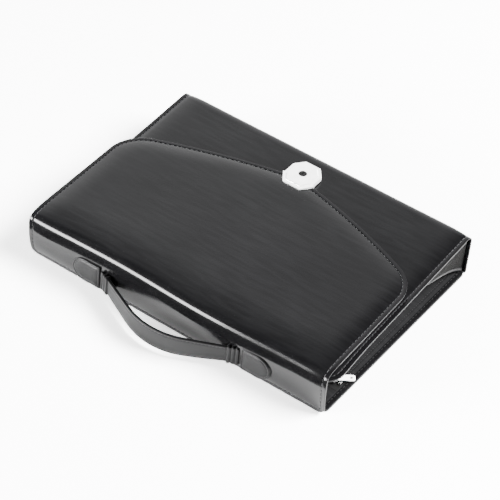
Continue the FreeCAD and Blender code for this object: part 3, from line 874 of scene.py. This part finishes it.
def keeper_section(u, x):
    """Three rounded ribs of a leather loop round the strap."""
    rib = abs(math.sin(3 * math.pi * min(max(u, 0.0), 1.0))) ** 0.55
    end = math.sqrt(max(0.0, 1 - (abs(2 * u - 1) ** 14)))
    grow = 0.35 * end + 1.05 * rib * end
    half_up, half_out = 9.9 + grow, 1.9 + grow
    radius = 1.3 + 0.5 * grow
    ring = []
    for quarter, (out_side, up_side) in enumerate(((1, 1), (-1, 1), (-1, -1), (1, -1))):
        for k in range(7):
            angle = (quarter + k / 6) * math.pi / 2
            ring.append((out_side * (half_out - radius) + radius * math.cos(angle),
                         up_side * (half_up - radius) + radius * math.sin(angle)))
    return ring


strap = sweep("handle_strap", -STRAP_END, STRAP_END, strap_section)
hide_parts("handle_strap_outer", "handle_core", "handle_strap_inner")


def on_strap(side):
    """Places on the strap's outer or inner face: x is the length along it, t is up."""

    def place(x, t, h):
        middle, out = along_strap(x)
        flat = middle + out * (side * (STRAP_HALF + np.asarray(h, float)))[:, None]
        return np.stack([HANDLE_X + flat[:, 0], FRONT - flat[:, 1], HANDLE_Z + np.asarray(t, float)], 1)
    return place


handle_pieces = [strap]
first, last = 26, len(STRAP_LINE) - 27       # the seams end under the keepers
strap_low, strap_high = strap_edges(STRAP_LINE[first:last, 0])
for side, word in ((1, "outside"), (-1, "inside")):
    for edge, level in (("upper", strap_high - 2.1), ("lower", strap_low + 2.1)):
        path = np.stack([np.arange(first, last, dtype=float), level], 1)
        handle_pieces.append(stitches(f"strap_stitching_{word}_{edge}", path, on_strap(side), -STITCH_SINK,
                                      3.6, 2.8, 0.28, closed_path=False))


def on_wall(x, t, h):
    """x and t are measured from the handle's middle, and h outwards from the wall."""
    return np.stack([HANDLE_X + np.asarray(x, float), FRONT - np.asarray(h, float),
                     HANDLE_Z + np.asarray(t, float)], 1)


def tab_outline(side):
    """A tongue with a blunt point, its straight end against the keeper."""
    start, end, half = 85.6, 122.0, 15.0
    shoulder, bulge, rise = end - 1.24 * half, end - 0.34 * half, 0.72 * half
    r = 2.2
    k = 1 - math.sqrt(0.5)
    runs = [((start + r, -half), (shoulder, -half)),
            ((shoulder, -half), (bulge, -rise), (end, 0.0)),
            ((end, 0.0), (bulge, rise), (shoulder, half)),
            ((shoulder, half), (start + r, half)),
            ((start + r, half), (start + r * k, half - r * k), (start, half - r)),
            ((start, half - r), (start, -half + r)),
            ((start, -half + r), (start + r * k, -half + r * k), (start + r, -half))]
    outline = closed(runs, 1.0)
    if side < 0:
        outline = outline[::-1] * (-1, 1)
    return outline


def tab_top(d, x, t):
    rim = 6.3 * np.sqrt(1 - np.clip(1 - d / 2.2, 0, 1) ** 2)
    return rim + groove(d, TAB_SEAM, 0.4, 0.45) + swell(d, TAB_SEAM + 0.5, 8, 0.9)


TAB_RINGS = (0.06, 0.2, 0.45, 0.8, 1.3, 1.8, 2.3, 2.7, 3.0, 3.3, 3.6, 3.9, 4.6)
TAB_ROWS = np.arange(-13, 13.5, 1.5)
TAB_COLUMNS = np.arange(-122, 122.5, 1.5)
for side, word in ((1, "right"), (-1, "left")):
    keeper = sweep(f"handle_keeper_{word}", *sorted((KEEPER_FROM * side, KEEPER_TO * side)), keeper_section,
                   steps=43)
    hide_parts(f"keeper_{word}")
    outline = tab_outline(side)
    tab = slab(f"handle_tab_{word}", outline, TAB_RINGS, TAB_ROWS, TAB_COLUMNS, tab_top,
               lambda d, x, t: np.full(len(d), -0.4), on_wall, HANDLE_LEATHER)
    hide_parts(f"tab_{word}", f"tab_pad_{word}")
    sewn = stitches(f"handle_tab_stitching_{word}", inset(outline, TAB_SEAM), on_wall, 5.95, 3.4, 2.6, 0.32,
                    material=DARK_THREAD)
    handle_pieces += [keeper, tab, sewn]
for piece in handle_pieces:
    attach(piece, "handle_wall")


# ---------------------------------------------------------------- gussets
def gusset(word, x):
    """A triangle of cloth beside the spine, bowed inwards, with a smooth binding on its free edge."""
    inward = -1 if x > 0 else 1
    # (y, z) of the triangle's corners: at the spine low and high, and the tip under the cover.
    low, high, tip = np.array([(126.4, 4.6), (126.4, 48.0), (39.0, 42.2)])
    steps, levels, ring = 60, 26, 10
    thick, sag, bow = 0.45, 2.2, 4.2

    def spot(u, v):
        """u from the spine to the tip, v from the free edge up to the cover."""
        bottom = low + (tip - low) * u + (0, sag * math.sin(math.pi * u))
        top = high + (tip - high) * u
        y, z = bottom + (top - bottom) * v
        slack = math.sin(math.pi * min(1.0, u * 1.15 + 0.02)) * (1 - v) ** 0.7 * (1 - u)
        wave = 0.5 * math.sin(9 * u + 4 * v) * (1 - u) * (1 - v)
        return x + inward * (bow * slack + wave), y, z

    points, uv = [], []
    for layer in (0.0, thick):
        for j in range(levels + 1):
            for i in range(steps + 1):
                px, y, z = spot(i / steps * 0.97, j / levels)
                points.append((px + inward * layer, y, z))
                uv.append((y * MM, z * MM))
    cloth = make(f"gusset_cloth_{word}", points, sheet_faces(levels + 1, steps + 1), CLOTH, uv)

    points, uv = [], []
    for i in range(steps + 1):
        u = i / steps * 0.965
        edge = np.array(spot(u, 0.0))
        middle = edge + (inward * 0.22, 0, 0)
        up = np.array(spot(u, 0.12)) - edge
        up /= max(1e-6, np.linalg.norm(up))
        broad = 2.6 * (1 - 0.75 * u)
        for k in range(ring):
            angle = 2 * math.pi * k / ring
            side = np.array([0.75 * math.cos(angle), 0, 0])
            points.append(middle + up * broad * (math.sin(angle) + 0.6) + side)
            uv.append((i * 0.0015, angle * 0.0005))
    binding = make(f"gusset_binding_{word}", points, tube_faces(0, steps + 1, ring), LINING, uv)
    for piece in (cloth, binding):
        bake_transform(piece)
    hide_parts(f"gusset_{word}")


GUSSET_X = 176.6
gusset("right", GUSSET_X)
gusset("left", -GUSSET_X)


# ---------------------------------------------------------------- zipped pocket
ZIP_Y = -90.0
POCKET_SEAM = 3.0
POCKET_RINGS = (0.2, 0.5, 1.0, 2.0, 2.6, 3.0, 3.4, 4.0, 5.0)
pocket_outline = closed(rounded(-172, 172, ZIP_Y + 8.3, 115, 3.0, 8.0), 1.6)


def pocket_rise(d, x, t, share):
    """The pocket sheet lifts off the lining inside its seam, a little unevenly."""
    return swell(d, 4.0, 22, 1.3) * share + ripple(x, t, 0.35, 5.0) * ramp(d, 6, 24)


pocket = slab("pocket_panel", pocket_outline, POCKET_RINGS, np.arange(-82, 115, 5.0),
              np.arange(-170, 171, 5.0),
              lambda d, x, t: (0.8 + edge_round(d, 0.4) + groove(d, POCKET_SEAM, 0.35, 0.25)
                               + pocket_rise(d, x, t, 1.0)),
              lambda d, x, t: 0.05 + pocket_rise(d, x, t, 0.9), on_back, LINING)
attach(pocket, "back")
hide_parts("pocket_sheet")
pocket_thread = stitches("pocket_stitching", inset(pocket_outline, POCKET_SEAM), on_back, 0.65, 3.6, 2.8,
                         0.26, material=DARK_THREAD)
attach(pocket_thread, "back")
for word, side in (("rear", 1), ("front", -1)):
    low, high = sorted((ZIP_Y + side * 2.3, ZIP_Y + side * 10.3))
    outline = closed(rounded(-174, 174, low, high, 0.8, 0.8), 1.5)
    tape = slab(f"zip_tape_{word}_woven", outline, (0.2, 0.6, 1.2, 2.0), np.arange(low, high, 1.5),
                np.arange(-172, 173, 3.0),
                lambda d, x, t: 0.62 + edge_round(d, 0.3) + 0.05 * np.sin(x / 1.4),
                lambda d, x, t: 0.08 + 0.0 * d, on_back, TAPE)
    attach(tape, "back")
    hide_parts(f"zip_tape_{word}")


# ---------------------------------------------------------------- metal parts and the rest of the CAD
# Materials of the CAD parts. The clasp's and the puller's colours hold painted reflection, and the lock's
# holds painted shade.
PART_MATERIALS = {
    CHROME_AND_PAINTED_REFLECTION: ("clasp_plate", "clasp_bezel"),
    LOCK_STEEL_PAINTED_SHADE: ("lock_cylinder",),
    STEEL: ("clasp_backing", "clasp_rivets", "snap_spring", "lock_cam", "catch_plate", "catch_post",
            "catch_backing", "catch_rivets", "handle_backing_left", "handle_backing_right", "handle_rivets"),
    ZIP_METAL: ("zip_slider", "zip_stops"),
    PULL_PAINTED_REFLECTION: ("zip_puller",),
    ZIP_TEETH: ("zip_teeth_front", "zip_teeth_rear"),
}
for finish, names in PART_MATERIALS.items():
    for name in names:
        node = nodes[name]
        node.data.materials.clear()
        node.data.materials.append(finish)
        weld = node.modifiers.new("weld", "WELD")
        weld.merge_threshold = 1e-5
        bevel = node.modifiers.new("bevel", "BEVEL")
        bevel.width = 0.0002
        bevel.segments = 2
        bevel.limit_method = "ANGLE"
        bevel.angle_limit = math.radians(35)
        bevel.harden_normals = True
for name, node in nodes.items():
    if not node.hide_render and not any(name in names for names in PART_MATERIALS.values()):
        node.data.materials.clear()
        node.data.materials.append(BOARD)


# ---------------------------------------------------------------- floor, world and lights
def make_sheet(name, low, high, z, shader):
    """A flat rectangle in metres from one corner to the other, as scenery."""
    (x, y), (far_x, far_y) = low, high
    mesh = bpy.data.meshes.new(name)
    mesh.from_pydata([(x, y, z), (far_x, y, z), (far_x, far_y, z), (x, far_y, z)], [], [(0, 1, 2, 3)])
    mesh.materials.append(shader.material)
    sheet = bpy.data.objects.new(name, mesh)
    bpy.context.scene.collection.objects.link(sheet)
    sheet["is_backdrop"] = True
    return sheet


def make_floor():
    s = Shader("floor_paper")
    speck = s.noise(s.place((1, 1, 1)), 700, 3, 0.5)
    s.set(Base_Color=s.tint(speck, (0.93, 0.93, 0.93), (0.96, 0.96, 0.96)), Roughness=0.75,
          Specular_IOR_Level=0.2, Emission_Color=(1, 1, 1, 1), Emission_Strength=1.3)
    make_sheet("floor", (-9.0, -9.0), (9.0, 9.0), -0.0002, s)


BRIGHT_SKY = (-0.72, 0.62, 0.20)


def make_world():
    """Bright low down behind on the left, dim overhead and in front."""
    world = bpy.data.worlds.new("studio")
    bpy.context.scene.world = world
    world.use_nodes = True
    tree = world.node_tree
    tree.nodes.clear()
    new, link = tree.nodes.new, tree.links.new
    direction = new("ShaderNodeTexCoord").outputs["Generated"]
    dot = new("ShaderNodeVectorMath")
    dot.operation = "DOT_PRODUCT"
    dot.inputs[1].default_value = Vector(BRIGHT_SKY).normalized()
    link(direction, dot.inputs[0])
    reach = new("ShaderNodeMapRange")
    reach.interpolation_type = "SMOOTHERSTEP"
    for socket, number in zip(RANGE_SOCKETS, (0.60, 1.0, 0.04, 3.2)):
        reach.inputs[socket].default_value = number
    link(dot.outputs["Value"], reach.inputs["Value"])
    background = new("ShaderNodeBackground")
    background.inputs["Color"].default_value = (1, 1, 1, 1)
    link(reach.outputs["Result"], background.inputs["Strength"])
    output = new("ShaderNodeOutputWorld")
    link(background.outputs[0], output.inputs[0])


def make_flag():
    """A black card in front of the wall that only reflections see, as a studio flag cuts glare."""
    s = Shader("flag_card")
    fleck = s.noise(s.place((1, 1, 1)), 300)
    s.set(Base_Color=s.tint(fleck, (0.004, 0.004, 0.004), (0.008, 0.008, 0.008)), Roughness=0.9,
          Specular_IOR_Level=0.0)
    flag = make_sheet("flag", (-0.6, -1.0), (0.6, -0.140), 0.0315, s)
    flag.visible_camera = flag.visible_diffuse = flag.visible_shadow = False
    flag.visible_transmission = flag.visible_volume_scatter = False


def make_light(name, place, target, size, power, diffuse=True, glossy=True):
    """A soft rectangle of light in watts; a surface's shine or its own colour can be left without it."""
    data = bpy.data.lights.new(name, "AREA")
    data.shape = "RECTANGLE"
    data.size, data.size_y = size
    data.energy = power
    light = bpy.data.objects.new(name, data)
    light.location = place
    light.rotation_euler = (Vector(target) - Vector(place)).to_track_quat("-Z", "Y").to_euler()
    light.visible_diffuse, light.visible_glossy = diffuse, glossy
    bpy.context.scene.collection.objects.link(light)


make_floor()
make_world()
make_flag()
make_light("key", (-1.97, -2.20, 0.58), (-1.97, 0, 0.2), (2.4, 1.0), 1050)
make_light("rim", (1.9, 1.1, 2.2), (0, 0, 0), (1.8, 1.6), 1500, glossy=False)
make_light("edge", (1.9, 1.1, 2.0), (0, 0, 0), (1.2, 1.0), 30, diffuse=False)

low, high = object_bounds()
